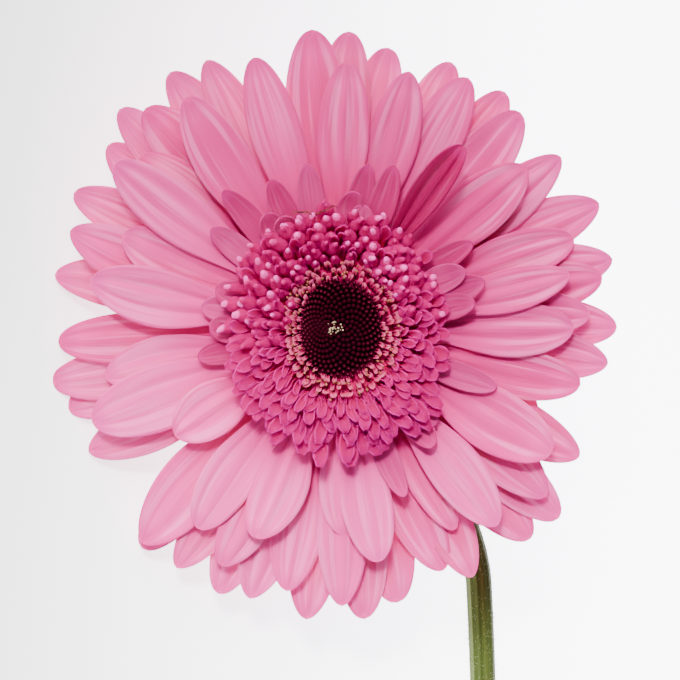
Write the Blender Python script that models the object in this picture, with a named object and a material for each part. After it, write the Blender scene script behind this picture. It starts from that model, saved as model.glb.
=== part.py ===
"""A cut gerbera lying on its side: the stem along -Y, the head face up and rolled on to its left petals.

The head is modelled in its own frame: u to the right across the face, v away from the stem, w out of the face.
Angles on the face are degrees clockwise from v. Lengths there are millimetres.
"""

import math
import random

import bpy
import numpy as np

MM = 0.001

# The pose of the head.
ROLL_DEG = 30.0
PETAL_BASE_R = 14.8

# Rows of petals stack in levels, and each level leans a little further forward than the one behind it.
LEVEL_BASE_W = -3.4
LEVEL_STEP_W = 1.0
LEVEL_FAN_DEG = 0.9
LEVEL_MIDDLE = 2.5
LAST_PETAL_LEVEL = 5
TILT_DEG = 2.0
TILT_TOP_DEG = 9.0
TILT_RIGHT_DEG = 3.0
CURVE_TOP_W = 3.0
CURVE_LENGTH = 40.0

PETAL_STATIONS = (0.0, 0.25, 0.5, 0.72, 0.9, 1.0)
LIGULE_STATIONS = (0.0, 0.4, 0.78, 1.0)
PETAL_THICK = 0.6
PETAL_EDGE = 0.26
PETAL_SAG = 0.5
PETAL_GAP = 0.45
WIDEST_R = 31.0
# The outline of a petal, as shares of its length and of its width.
CLAW_SHARE = 0.28
WIDEST_FROM = 0.5
WIDEST_UNTIL = 0.74
TIP_SHARE = 0.14
TIP_POWER = 2.2

# Each pair is the angle and the tip radius of one petal.
BACK_ROW = [
    (3.8, 56.5), (11.6, 54.4), (22.4, 55.2), (36.6, 55.4), (53.5, 54.0), (65.3, 55.8),
    (75.8, 54.6), (89.7, 54.0), (97.9, 52.7), (118.5, 53.1), (130.3, 56.5), (138.0, 55.4),
    (150.2, 54.8), (167.8, 54.4), (174.0, 56.5), (185.0, 56.7), (197.3, 54.8), (203.0, 56.2),
    (214.2, 55.6), (221.7, 56.7), (242.6, 53.3), (254.4, 54.0), (259.8, 55.8), (281.6, 55.0),
    (298.5, 56.4), (309.3, 56.0), (315.7, 58.7), (328.2, 58.1), (334.6, 56.7),
]
MIDDLE_ROW = [
    (28.0, 53.8), (40.6, 54.0), (68.4, 48.6), (79.8, 51.9), (86.0, 48.6), (103.6, 48.1),
    (111.0, 41.9), (127.3, 51.7), (149.0, 45.0), (157.0, 51.1), (177.5, 53.5), (190.0, 51.5),
    (205.0, 50.8), (222.5, 55.8), (257.8, 45.2), (268.0, 53.3), (289.4, 54.0), (312.0, 49.6),
    (320.0, 55.4), (343.8, 53.7), (356.5, 56.9),
]
FRONT_ROW = [
    (2.8, 50.4), (17.0, 50.6), (33.9, 41.9), (49.4, 47.5), (76.8, 45.7), (91.0, 45.5),
    (118.8, 47.5), (139.4, 48.8), (169.2, 45.5), (177.0, 39.8), (199.7, 43.0), (214.6, 46.7),
    (235.5, 36.9), (248.4, 50.0), (280.2, 47.5), (293.4, 44.2), (305.9, 52.3), (326.5, 52.1),
]
# A few petals are broader or narrower than the rest. The key is the angle.
PETAL_WIDTH = 9.6
ODD_WIDTHS = {
    33.9: 6.4, 68.4: 8.6, 76.8: 7.4, 86.0: 8.4, 111.0: 8.4, 118.8: 11.2, 149.0: 6.6, 177.0: 8.2, 222.5: 11.2,
    248.4: 11.2, 356.5: 10.8,
}
WIDTH_SPREAD = 0.6
FOLDED_ANGLE = 33.9
FOLDED_EXTRA_TILT_DEG = 20.0

# Angle, tip radius and width of the short ligules, in two rings.
LIGULES_LOWER = [
    (10.5, 32.0, 4.4), (57.7, 31.0, 4.8), (109.0, 33.0, 4.6), (157.0, 35.0, 4.6), (258.4, 27.0, 4.6),
    (308.5, 30.5, 4.6), (321.5, 34.0, 4.4), (337.0, 31.0, 4.6), (351.0, 32.0, 4.4),
]
LIGULES_UPPER = [
    (7.0, 26.5, 4.6), (19.5, 33.0, 4.4), (73.0, 30.0, 6.4), (140.0, 29.5, 6.0), (280.0, 26.0, 7.6),
    (328.6, 25.7, 4.6),
]
LIGULE_RING_WIDTH = 1.4
BACK_RING_WIDTH = 1.4
RING_STEP_DEG = 13.0

# Crown of trans florets: florets, base radius, base w, slope above the petals, length.
CROWN_RINGS = {
    "crown_outer": (34, 14.1, 5.0, 12.0, 11.4),
    "crown_middle": (30, 13.0, 6.1, 33.0, 9.6),
    "crown_inner": (26, 11.9, 7.2, 56.0, 8.2),
}
COLLAR_BASE_W = 5.0
CROWN_RING_WIDTH = 0.7
CROWN_LEVEL = 8.0
CROWN_THICK = 0.6
CROWN_BASE_SHARE = 0.62
CROWN_MIDDLE_WIDTH = 1.8
CROWN_TIP_WIDTH = 1.9

COLLAR_R = 8.8
COLLAR_RING_WIDTH = 2.0
COLLAR_FLORETS = 22
COLLAR_HEIGHT = 5.4
COLLAR_BASE_SHARE = 0.66
COLLAR_WIDTHS = (1.5, 1.0)
COLLAR_THICK = 0.7
COLLAR_INWARD = 0.2
COLLAR_OUTWARD = 0.06

DISC_R = 8.2
DISC_BASE_W = 4.55
DISC_RINGS = 6
DISC_SEGMENTS = 24
DISC_DOME = 1.2
DISC_BUD = 0.4
DISC_WALL = 2.6
TUFT_HEIGHT = 1.1

# Receptacle: radius and w up its outline.
CUP_OUTLINE = [
    (3.4, -18.7), (5.6, -17.2), (9.0, -13.4), (12.0, -8.8), (13.9, -5.2), (14.4, -4.0), (14.4, 3.4), (13.6, 4.2),
]
CUP_SEGMENTS = 24
CUP_TOP_W = 4.3

# Bracts: count, outline as (radius, w) from the ring to the tip, and width.
BRACT_RINGS = {
    "bracts_outer": (16, [(5.9, -19.0), (8.4, -17.6), (12.2, -13.6), (14.8, -10.0)], 3.0),
    "bracts_inner": (20, [(9.9, -14.2), (12.7, -9.4), (15.4, -6.6), (19.4, -6.1)], 3.2),
}
BRACT_THICK = 0.5
BRACT_BASE_SHARE = 0.7
BRACT_NARROWING = 0.8
BRACT_TIP_WIDTH = 0.5
BRACT_RING_WIDTH = 1.0

STEM_TOP_W = -19.05
STEM_NECK_R = 2.65
STEM_END_R = 3.0
STEM_OFFSET_U = 29.2
STEM_TURN_Y = -52.0
STEM_TURN_PULL = 22.0
STEM_LENGTH_Y = 318.0
STEM_BOW = 0.05
STEM_SWAY = 3.0
STEM_SIDES = 12
STEM_NECK_STEPS = 14
STEM_LONG_STEPS = 14

ROLL = math.radians(ROLL_DEG)
RIGHT = np.array([math.cos(ROLL), 0.0, math.sin(ROLL)])
AWAY = np.array([0.0, 1.0, 0.0])
FACE = np.array([-math.sin(ROLL), 0.0, math.cos(ROLL)])

COLOURS = {
    "petal": (0.86, 0.52, 0.60),
    "petal_shaded": (0.72, 0.34, 0.44),
    "ligule": (0.72, 0.16, 0.34),
    "crown": (0.62, 0.01, 0.12),
    "anther": (0.58, 0.26, 0.20),
    "disc": (0.05, 0.004, 0.015),
    "leaf_green": (0.13, 0.20, 0.05),
    "stem_green": (0.16, 0.22, 0.06),
}

random.seed(11)
solids = []


def clear_scene():
    for obj in list(bpy.data.objects):
        bpy.data.objects.remove(obj, do_unlink=True)


def make_material(name, colour):
    material = bpy.data.materials.new(name)
    material.use_nodes = True
    shader = material.node_tree.nodes["Principled BSDF"]
    shader.inputs["Base Color"].default_value = (*colour, 1.0)
    shader.inputs["Roughness"].default_value = 0.6
    return material


def polar(angle_deg, radius, w):
    """A point of the face frame, as u, v and w."""
    angle = math.radians(angle_deg)
    return np.array([radius * math.sin(angle), radius * math.cos(angle), w])


def face_to_world(points):
    points = np.asarray(points, float)
    return points[:, :1] * RIGHT + points[:, 1:2] * AWAY + points[:, 2:] * FACE


def lean(angle_deg, level):
    """How far a petal at this angle and level leans forward, in radians."""
    angle = math.radians(angle_deg)
    around = TILT_TOP_DEG * math.cos(angle) + TILT_RIGHT_DEG * math.sin(angle)
    return math.radians(TILT_DEG + around + (level - LEVEL_MIDDLE) * LEVEL_FAN_DEG)


def level_height(u, v, level):
    """The height w of a level's surface at a place on the face."""
    radius = math.hypot(u, v)
    angle_deg = math.degrees(math.atan2(u, v))
    out = max(0.0, radius - PETAL_BASE_R)
    curve = CURVE_TOP_W * math.cos(math.radians(angle_deg)) * (out / CURVE_LENGTH) ** 2
    return LEVEL_BASE_W + level * LEVEL_STEP_W + out * math.tan(lean(angle_deg, level)) + curve


def half_width_share(s):
    """The half-width along a petal as a share of its widest, from a narrow claw to a rounded point."""
    if s < WIDEST_FROM:
        rise = s / WIDEST_FROM
        return CLAW_SHARE + (1.0 - CLAW_SHARE) * rise * rise * (3.0 - 2.0 * rise)
    if s < WIDEST_UNTIL:
        return 1.0
    fall = (s - WIDEST_UNTIL) / (1.0 - WIDEST_UNTIL)
    return max(TIP_SHARE, math.sqrt(max(0.0, 1.0 - fall ** TIP_POWER)))


def petal_sections(angle_deg, tip_r, width, level, base_r, extra_tilt_deg=0.0, tip_lift=0.0):
    """Cross-sections of one petal: rings of six points, top left to top right and back underneath."""
    sections = []
    sway_deg = random.uniform(-1.2, 1.2)
    for s in PETAL_STATIONS if level <= LAST_PETAL_LEVEL else LIGULE_STATIONS:
        radius = base_r + s * (tip_r - base_r)
        middle = polar(angle_deg + sway_deg * s * s, radius, 0.0)
        outward = middle[:2] / np.linalg.norm(middle[:2])
        sideways = np.array([outward[1], -outward[0]])
        half = 0.5 * width * half_width_share(s)
        lift = (radius - base_r) * math.tan(math.radians(extra_tilt_deg)) + tip_lift * s ** 3
        top = []
        bottom = []
        for q in (-1.0, 0.0, 1.0):
            u, v = middle[:2] + q * half * sideways
            centre = level_height(u, v, level) + lift + PETAL_SAG * half_width_share(s) * q * q
            deep = 0.5 * (PETAL_THICK if q == 0.0 else PETAL_EDGE)
            top.append((u, v, centre + deep))
            bottom.append((u, v, centre - deep))
        sections.append(top + bottom[::-1])
    return sections


def strap_sections(angle_deg, outline, widths, thick):
    """Cross-sections of a flat strap: rings of four points along (radius, w) pairs."""
    sections = []
    angle = math.radians(angle_deg)
    outward = np.array([math.sin(angle), math.cos(angle), 0.0])
    sideways = np.array([math.cos(angle), -math.sin(angle), 0.0])
    steps = np.gradient(np.array(outline, float), axis=0)
    for (radius, w), (along_r, along_w), width in zip(outline, steps, widths):
        size = math.hypot(along_r, along_w)
        above = (-along_w * outward + np.array([0.0, 0.0, along_r])) / size
        middle = radius * outward + np.array([0.0, 0.0, w])
        left = middle - 0.5 * width * sideways
        right = middle + 0.5 * width * sideways
        rim = 0.5 * thick * above
        sections.append([left + rim, right + rim, right - rim, left - rim])
    return sections


def add_bands(faces, start, sections, size):
    """Faces round and along a run of cross-sections, with the far end closed."""
    for k in range(sections - 1):
        for j in range(size):
            a = start + k * size + j
            b = start + k * size + (j + 1) % size
            faces.append((a, a + size, b + size, b))
    last = start + (sections - 1) * size
    faces.append(tuple(last + j for j in range(size)))


def keep(name, points, faces, colour, in_face=True):
    points = np.array([tuple(p) for p in points], float)
    solids.append((name, face_to_world(points) if in_face else points, faces, colour, in_face))


def add_single(name, sections, colour):
    """One petal as a closed solid of its own."""
    size = len(sections[0])
    points = [point for section in sections for point in section]
    faces = []
    add_bands(faces, 0, len(sections), size)
    faces.append(tuple(range(size - 1, -1, -1)))
    keep(name, points, faces, colour)


def add_toothed_ring(name, teeth, ring_width, colour):
    """A ring whose outer edge carries every tooth. A tooth is a list of sections, sorted by angle."""
    points = []
    faces = []
    starts = []
    size = len(teeth[0][0])
    across = size // 2
    for sections in teeth:
        starts.append(len(points))
        for point in sections[0]:
            point = np.array(point, float)
            inward = point.copy()
            radius = math.hypot(point[0], point[1])
            inward[:2] *= (radius - ring_width) / radius
            points.append(inward)
        for section in sections:
            points.extend(section)
    for i, start in enumerate(starts):
        following = starts[(i + 1) % len(starts)]
        inner = [start + j for j in range(size)]
        outer = [start + size + j for j in range(size)]
        inner_next = [following + j for j in range(size)]
        outer_next = [following + size + j for j in range(size)]
        for j in range(across - 1):
            faces.append((inner[j], outer[j], outer[j + 1], inner[j + 1]))
            under = across + j
            faces.append((inner[under], outer[under], outer[under + 1], inner[under + 1]))
            faces.append((inner[j], inner[j + 1], inner[size - 2 - j], inner[size - 1 - j]))
        right_top, right_under = across - 1, across
        left_top, left_under = 0, size - 1
        faces.append((inner[right_top], outer[right_top], outer_next[left_top], inner_next[left_top]))
        faces.append((outer[right_under], inner[right_under], inner_next[left_under], outer_next[left_under]))
        faces.append((outer[right_top], outer[right_under], outer_next[left_under], outer_next[left_top]))
        faces.append((inner[right_under], inner[right_top], inner_next[left_top], inner_next[left_under]))
        add_bands(faces, start + size, len(teeth[i]), size)
    keep(name, points, faces, colour)


def choose_level(angle_deg, width, taken, levels):
    """The foremost of the levels where no petal already placed is in the way."""
    for level in levels:
        clear = True
        for other_angle, other_width, other_level in taken:
            turn = abs((angle_deg - other_angle + 180.0) % 360.0 - 180.0)
            apart = 2.0 * WIDEST_R * math.sin(math.radians(min(turn, 90.0)) / 2.0)
            if other_level == level and apart < 0.5 * (width + other_width) + PETAL_GAP:
                clear = False
        if clear:
            return level
    raise ValueError(f"no free level for the petal at {angle_deg}")


def add_petal_row(prefix, row, levels, tip_lift):
    taken = []
    for number, (angle_deg, tip_r) in enumerate(row, 1):
        width = ODD_WIDTHS.get(angle_deg, PETAL_WIDTH + random.uniform(-WIDTH_SPREAD, WIDTH_SPREAD))
        level = choose_level(angle_deg, width, taken, levels)
        taken.append((angle_deg, width, level))
        extra = FOLDED_EXTRA_TILT_DEG if angle_deg == FOLDED_ANGLE else 0.0
        sections = petal_sections(angle_deg, tip_r, width, level, PETAL_BASE_R, extra, tip_lift)
        add_single(f"{prefix}_{number:02d}", sections, "petal")


def ring_of_petals(name, part, level, ring_width, colour):
    """Petals grown on one ring, with bare ring wherever two of them stand far apart."""
    base_r = PETAL_BASE_R + ring_width
    teeth = []
    for i, (angle_deg, tip_r, width) in enumerate(part):
        teeth.append(petal_sections(angle_deg, tip_r, width, level, base_r))
        room = (part[(i + 1) % len(part)][0] - angle_deg) % 360.0
        bare = int(room // RING_STEP_DEG)
        for k in range(bare):
            between = angle_deg + room * (k + 1) / (bare + 1)
            teeth.append(petal_sections(between, tip_r, PETAL_WIDTH, level, base_r)[:1])
    add_toothed_ring(name, teeth, ring_width, colour)


def add_back_rows():
    for letter, level, part in (("a", 1, BACK_ROW[0::2]), ("b", 0, BACK_ROW[1::2])):
        sized = [(angle_deg, tip_r, PETAL_WIDTH - random.uniform(0.0, WIDTH_SPREAD)) for angle_deg, tip_r in part]
        ring_of_petals(f"petals_back_{letter}", sized, level, BACK_RING_WIDTH, "petal_shaded")


def add_ligules():
    ring_of_petals("ligules_lower", LIGULES_LOWER, 6, LIGULE_RING_WIDTH, "ligule")
    ring_of_petals("ligules_upper", LIGULES_UPPER, 7, LIGULE_RING_WIDTH, "ligule")


def add_crown():
    for name, (count, base_r, base_w, slope_deg, length) in CROWN_RINGS.items():
        teeth = []
        ring_r = base_r + CROWN_RING_WIDTH
        base_width = CROWN_BASE_SHARE * 2.0 * math.pi * ring_r / count
        for i in range(count):
            angle_deg = (i + random.uniform(-0.15, 0.15)) * 360.0 / count
            slope = lean(angle_deg, CROWN_LEVEL) + math.radians(slope_deg)
            reach = length * random.uniform(0.92, 1.08)
            outline = [(ring_r, base_w)]
            for share in (0.5, 1.0):
                along = share * reach
                outline.append((ring_r + along * math.cos(slope), base_w + along * math.sin(slope)))
            widths = (base_width, CROWN_MIDDLE_WIDTH, CROWN_TIP_WIDTH)
            sections = strap_sections(angle_deg, outline, widths, CROWN_THICK)
            teeth.append(level_first(sections))
        add_toothed_ring(name, teeth, CROWN_RING_WIDTH, "crown")


def level_first(sections):
    """Stands the first cross-section upright, so that the ring's faces lie flat."""
    first = [np.array(point, float) for point in sections[0]]
    middle_left = 0.5 * (first[0] + first[3])
    middle_right = 0.5 * (first[1] + first[2])
    rim = np.array([0.0, 0.0, 0.5 * np.linalg.norm(first[0] - first[3])])
    sections[0] = [middle_left + rim, middle_right + rim, middle_right - rim, middle_left - rim]
    return sections


def add_collar():
    teeth = []
    ring_r = COLLAR_R + COLLAR_RING_WIDTH
    base_width = COLLAR_BASE_SHARE * 2.0 * math.pi * ring_r / COLLAR_FLORETS
    for i in range(COLLAR_FLORETS):
        reach = COLLAR_HEIGHT * random.uniform(0.88, 1.1)
        outline = [(ring_r, COLLAR_BASE_W)]
        for share in (0.25, 1.0):
            along = share * reach
            outline.append((ring_r - COLLAR_INWARD + COLLAR_OUTWARD * along, COLLAR_BASE_W + along))
        widths = (base_width, *COLLAR_WIDTHS)
        sections = strap_sections(i * 360.0 / COLLAR_FLORETS, outline, widths, COLLAR_THICK)
        teeth.append(level_first(sections))
    add_toothed_ring("stamen_collar", teeth, COLLAR_RING_WIDTH, "anther")


def add_disc():
    points = [(0.0, 0.0, DISC_BASE_W)]
    rings = [(DISC_R, DISC_BASE_W)]
    for ring in range(DISC_RINGS):
        share = 1.0 - ring / DISC_RINGS
        radius = DISC_R * share
        rings.append((radius, DISC_BASE_W + DISC_WALL + DISC_DOME * (1.0 - share * share)))
    for number, (radius, w) in enumerate(rings):
        for i in range(DISC_SEGMENTS):
            bud = DISC_BUD * ((i + number) % 2) if number > 0 else 0.0
            points.append(tuple(polar(i * 360.0 / DISC_SEGMENTS, radius, w + bud)))
    points.append((0.0, 0.0, DISC_BASE_W + DISC_WALL + DISC_DOME + TUFT_HEIGHT))
    top = len(points) - 1
    faces = []
    for i in range(DISC_SEGMENTS):
        j = (i + 1) % DISC_SEGMENTS
        faces.append((0, 1 + i, 1 + j))
        for number in range(len(rings) - 1):
            a = 1 + number * DISC_SEGMENTS
            b = a + DISC_SEGMENTS
            faces.append((a + j, a + i, b + i))
            faces.append((a + j, b + i, b + j))
        last = 1 + (len(rings) - 1) * DISC_SEGMENTS
        faces.append((last + j, last + i, top))
    keep("disc_florets", points, faces, "disc")


def add_receptacle():
    points = [(0.0, 0.0, CUP_OUTLINE[0][1])]
    for radius, w in CUP_OUTLINE:
        for i in range(CUP_SEGMENTS):
            points.append(tuple(polar(i * 360.0 / CUP_SEGMENTS, radius, w)))
    points.append((0.0, 0.0, CUP_TOP_W))
    top = len(points) - 1
    faces = []
    for i in range(CUP_SEGMENTS):
        j = (i + 1) % CUP_SEGMENTS
        faces.append((0, 1 + i, 1 + j))
        for number in range(len(CUP_OUTLINE) - 1):
            a = 1 + number * CUP_SEGMENTS
            b = a + CUP_SEGMENTS
            faces.append((a + j, a + i, b + i, b + j))
        last = 1 + (len(CUP_OUTLINE) - 1) * CUP_SEGMENTS
        faces.append((last + j, last + i, top))
    keep("receptacle", points, faces, "leaf_green")


def add_bracts():
    for name, (count, outline, width) in BRACT_RINGS.items():
        teeth = []
        ring_r = outline[0][0]
        base_width = min(width, BRACT_BASE_SHARE * 2.0 * math.pi * ring_r / count)
        widths = (base_width, width, BRACT_NARROWING * width, BRACT_TIP_WIDTH)
        for i in range(count):
            sections = strap_sections(i * 360.0 / count, outline, widths, BRACT_THICK)
            teeth.append(level_first(sections))
        add_toothed_ring(name, teeth, BRACT_RING_WIDTH, "leaf_green")


def stem_path(centre_height):
    """Points down the middle of the stem, in world millimetres about the head's centre, with a radius each."""
    top = STEM_TOP_W * FACE
    low = STEM_NECK_R - centre_height
    offset_x = (STEM_OFFSET_U - low * math.sin(ROLL)) / math.cos(ROLL)
    turn = np.array([offset_x, STEM_TURN_Y, low])
    drop = (top[2] - low) / FACE[2]
    first_pull = top - drop * FACE
    slope = STEM_BOW * STEM_LENGTH_Y / (STEM_LENGTH_Y + STEM_TURN_Y)
    second_pull = turn + np.array([-slope * STEM_TURN_PULL, STEM_TURN_PULL, 0.0])
    path = []
    for k in range(STEM_NECK_STEPS):
        t = k / STEM_NECK_STEPS
        point = (1 - t) ** 3 * top + 3 * (1 - t) ** 2 * t * first_pull
        point = point + 3 * (1 - t) * t * t * second_pull + t ** 3 * turn
        path.append((point, STEM_NECK_R))
    for k in range(STEM_LONG_STEPS + 1):
        t = k / STEM_LONG_STEPS
        radius = STEM_NECK_R + (STEM_END_R - STEM_NECK_R) * t
        sway = STEM_BOW * STEM_LENGTH_Y * t * (1 - t) - STEM_SWAY * math.sin(math.pi * t) ** 2
        point = turn + np.array([sway, -t * (STEM_LENGTH_Y + STEM_TURN_Y), radius - STEM_NECK_R])
        path.append((point, radius))
    return path


def add_stem(centre_height):
    path = stem_path(centre_height)
    middles = np.array([point for point, radius in path])
    along = np.gradient(middles, axis=0)
    along /= np.linalg.norm(along, axis=1)[:, None]
    along[0] = -FACE
    side = RIGHT.copy()
    points = []
    for (middle, radius), direction in zip(path, along):
        side = side - direction * np.dot(side, direction)
        side /= np.linalg.norm(side)
        other = np.cross(direction, side)
        for i in range(STEM_SIDES):
            turn = 2.0 * math.pi * i / STEM_SIDES
            points.append(middle + radius * (math.cos(turn) * side + math.sin(turn) * other))
    faces = []
    add_bands(faces, 0, len(path), STEM_SIDES)
    faces.append(tuple(range(STEM_SIDES - 1, -1, -1)))
    keep("stem", points, [face[::-1] for face in faces], "stem_green", in_face=False)


def build_objects():
    """Moves everything so that the bounding box stands centred on the origin, and makes the objects."""
    lowest = min(points[:, 2].min() for name, points, faces, colour, in_face in solids)
    add_stem(-lowest)
    every = np.vstack([points for name, points, faces, colour, in_face in solids])
    low, high = every.min(axis=0), every.max(axis=0)
    shift = np.array([0.5 * (low[0] + high[0]), 0.5 * (low[1] + high[1]), low[2]])
    materials = {name: make_material(name, colour) for name, colour in COLOURS.items()}
    for name, points, faces, colour, in_face in solids:
        mesh = bpy.data.meshes.new(name)
        mesh.from_pydata([tuple((point - shift) * MM) for point in points], [], faces)
        mesh.update()
        mesh.materials.append(materials[colour])
        obj = bpy.data.objects.new(name, mesh)
        bpy.context.scene.collection.objects.link(obj)
        bpy.context.view_layer.objects.active = obj
        obj.select_set(True)
        bpy.ops.object.mode_set(mode="EDIT")
        bpy.ops.mesh.select_all(action="SELECT")
        bpy.ops.mesh.quads_convert_to_tris(quad_method="SHORTEST_DIAGONAL")
        bpy.ops.mesh.normals_make_consistent(inside=False)
        bpy.ops.object.mode_set(mode="OBJECT")
        obj.select_set(False)


clear_scene()
add_receptacle()
add_bracts()
add_back_rows()
add_petal_row("petal_middle", MIDDLE_ROW, (3, 2), 0.0)
add_petal_row("petal_front", FRONT_ROW, (5, 4), 0.8)
add_ligules()
add_crown()
add_collar()
add_disc()
build_objects()
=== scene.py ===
# %% [markdown]
# # A cut gerbera, lying on its side
# A gerbera head is hundreds of small flowers grown on one green cup. The long outer ones are the petals,
# then come short rose tongues, a crown of crimson florets, a collar of anthers, and dark buds in the middle.
# The lesson builds each kind once, bends a copy of it for every place, and gives every surface its own
# procedural finish. The solid model that comes with the scene says where everything goes.

# %% Load the solid model
import math
import random

import bpy
import numpy as np
from mathutils import Matrix, Vector
from mathutils.bvhtree import BVHTree


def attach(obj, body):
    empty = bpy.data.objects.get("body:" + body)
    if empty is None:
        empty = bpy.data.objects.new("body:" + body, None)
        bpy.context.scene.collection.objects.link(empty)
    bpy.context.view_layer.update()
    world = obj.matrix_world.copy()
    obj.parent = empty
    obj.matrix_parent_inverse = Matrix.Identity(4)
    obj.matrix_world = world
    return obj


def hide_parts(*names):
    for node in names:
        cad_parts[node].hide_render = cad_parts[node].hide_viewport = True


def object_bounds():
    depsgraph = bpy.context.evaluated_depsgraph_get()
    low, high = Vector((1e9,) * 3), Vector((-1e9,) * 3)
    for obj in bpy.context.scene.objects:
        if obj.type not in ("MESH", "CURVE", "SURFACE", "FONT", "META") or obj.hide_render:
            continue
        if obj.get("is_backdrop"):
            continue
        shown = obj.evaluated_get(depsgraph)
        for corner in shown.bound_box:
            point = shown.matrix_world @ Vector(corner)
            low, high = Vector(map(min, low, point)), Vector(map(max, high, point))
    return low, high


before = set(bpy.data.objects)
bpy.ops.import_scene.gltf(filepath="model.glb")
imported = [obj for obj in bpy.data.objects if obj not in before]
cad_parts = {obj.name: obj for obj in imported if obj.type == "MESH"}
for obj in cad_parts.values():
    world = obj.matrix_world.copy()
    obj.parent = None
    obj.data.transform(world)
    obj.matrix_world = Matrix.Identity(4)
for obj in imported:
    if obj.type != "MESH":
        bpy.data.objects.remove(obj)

MM = 0.001
random.seed(4)
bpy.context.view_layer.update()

# %% [markdown]
# The head has its own frame, because it faces neither straight up nor along a world axis. Its three
# directions are u, to the right across the face, v, away from the stem, and w, out of the face. The disc
# is a body of revolution that is flatter than it is wide, so the direction in which its points spread
# least is w, and their mean lies on the axis.

# %% The frame of the head
DISC_BASE_W = 4.55


def node_points(name):
    """The corners of a solid, each one once, in metres."""
    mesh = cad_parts[name].data
    points = np.empty(len(mesh.vertices) * 3)
    mesh.vertices.foreach_get("co", points)
    return np.unique(np.round(points.reshape(-1, 3), 6), axis=0)


disc_points = node_points("disc_florets")
spread, directions = np.linalg.eigh(np.cov(disc_points.T))
FACE = directions[:, 0] * np.sign(directions[2, 0])
AWAY = np.array([0.0, 1.0, 0.0])
RIGHT = np.cross(AWAY, FACE)
AXES = np.array([RIGHT, AWAY, FACE])
disc_middle = disc_points.mean(axis=0)
drop = (disc_points @ FACE).min() - disc_middle @ FACE
HEAD = disc_middle + (drop - DISC_BASE_W * MM) * FACE


def to_world(uvw):
    """Head coordinates in millimetres to world metres."""
    return HEAD + MM * (np.asarray(uvw, float) @ AXES)


def to_head(points):
    """World metres to head coordinates in millimetres."""
    return (np.asarray(points, float) - HEAD) @ AXES.T / MM


def on_face(angle_deg, radius):
    """The u and v of a place on the face. Angles run clockwise from v."""
    angle = np.radians(angle_deg)
    return np.stack([radius * np.sin(angle), radius * np.cos(angle)], axis=-1)


print("head centre", HEAD.round(4), "facing", FACE.round(3))

# %% [markdown]
# A long lens from nearly a metre away flattens the head. The camera looks straight along w, with v
# upwards in the picture, and is aimed a little below the middle of the head, where the stem leaves it.

# %% The camera
CAMERA_DISTANCE = 0.9
VIEW_WIDTH = 0.1312
AIM = (0.9, -2.15, 0.0)
camera_data = bpy.data.cameras.new("camera")
camera = bpy.data.objects.new("camera", camera_data)
bpy.context.scene.collection.objects.link(camera)
camera_data.sensor_width = 36.0
camera_data.lens = camera_data.sensor_width * CAMERA_DISTANCE / VIEW_WIDTH
camera_data.clip_start = 0.01
camera_data.clip_end = 20.0
turned = np.eye(4)
turned[:3, 0], turned[:3, 1], turned[:3, 2] = RIGHT, AWAY, FACE
turned[:3, 3] = to_world(AIM) + CAMERA_DISTANCE * FACE
camera.matrix_world = Matrix(turned.tolist())
bpy.context.scene.camera = camera
print("lens", round(camera_data.lens), "mm")

# %% [markdown]
# ## Tools for finishes
# Each finish is a network of nodes. These helpers add a node, and take either a number, a colour or
# another node's output for each input, so that a finish reads as a short recipe.


# %% Node helpers
def srgb(red, green, blue):
    """A colour given as on a screen, 0 to 255, as the linear values that shaders use."""
    shares = [value / 255.0 for value in (red, green, blue)]
    return tuple(s / 12.92 if s <= 0.04045 else ((s + 0.055) / 1.055) ** 2.4 for s in shares) + (1.0,)


def feed(tree, socket, value):
    if isinstance(value, bpy.types.NodeSocket):
        tree.links.new(value, socket)
    else:
        socket.default_value = value


def mix(tree, factor, a, b):
    """Colour a, turning to colour b as the factor goes from 0 to 1."""
    made = tree.nodes.new("ShaderNodeMix")
    made.data_type = "RGBA"
    feed(tree, made.inputs[0], factor)
    feed(tree, made.inputs[6], a)
    feed(tree, made.inputs[7], b)
    return made.outputs[2]


def calc(tree, operation, a, b=0.0):
    made = tree.nodes.new("ShaderNodeMath")
    made.operation = operation
    feed(tree, made.inputs[0], a)
    feed(tree, made.inputs[1], b)
    return made.outputs[0]


def times(tree, a, b):
    return calc(tree, "MULTIPLY", a, b)


def off_centre(tree, across):
    """How far a place is from the middle of its map's width, 0 to 0.5."""
    return calc(tree, "ABSOLUTE", calc(tree, "SUBTRACT", across, 0.5))


def rescale(tree, value, low, high, to_low=0.0, to_high=1.0, smooth=True):
    """The value, with low to high stretched to the new range and held at its ends."""
    made = tree.nodes.new("ShaderNodeMapRange")
    made.interpolation_type = "SMOOTHSTEP" if smooth else "LINEAR"
    feed(tree, made.inputs["Value"], value)
    for name, number in (("From Min", low), ("From Max", high), ("To Min", to_low), ("To Max", to_high)):
        feed(tree, made.inputs[name], number)
    return made.outputs["Result"]


def noise(tree, vector, scale, detail=2.0, roughness=0.5):
    made = tree.nodes.new("ShaderNodeTexNoise")
    feed(tree, made.inputs["Vector"], vector)
    feed(tree, made.inputs["Scale"], scale)
    feed(tree, made.inputs["Detail"], detail)
    feed(tree, made.inputs["Roughness"], roughness)
    return made.outputs["Fac"]


def stretched(tree, vector, scale):
    made = tree.nodes.new("ShaderNodeMapping")
    feed(tree, made.inputs["Vector"], vector)
    made.inputs["Scale"].default_value = scale
    return made.outputs["Vector"]


def split(tree, vector):
    made = tree.nodes.new("ShaderNodeSeparateXYZ")
    feed(tree, made.inputs[0], vector)
    return made.outputs


def own_uv(tree):
    made = tree.nodes.new("ShaderNodeUVMap")
    made.uv_map = "along"
    return made.outputs["UV"]


def own_value(tree, name):
    made = tree.nodes.new("ShaderNodeAttribute")
    made.attribute_name = name
    return made.outputs["Fac"]


def in_object(tree):
    return tree.nodes.new("ShaderNodeTexCoord").outputs["Object"]


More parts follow.
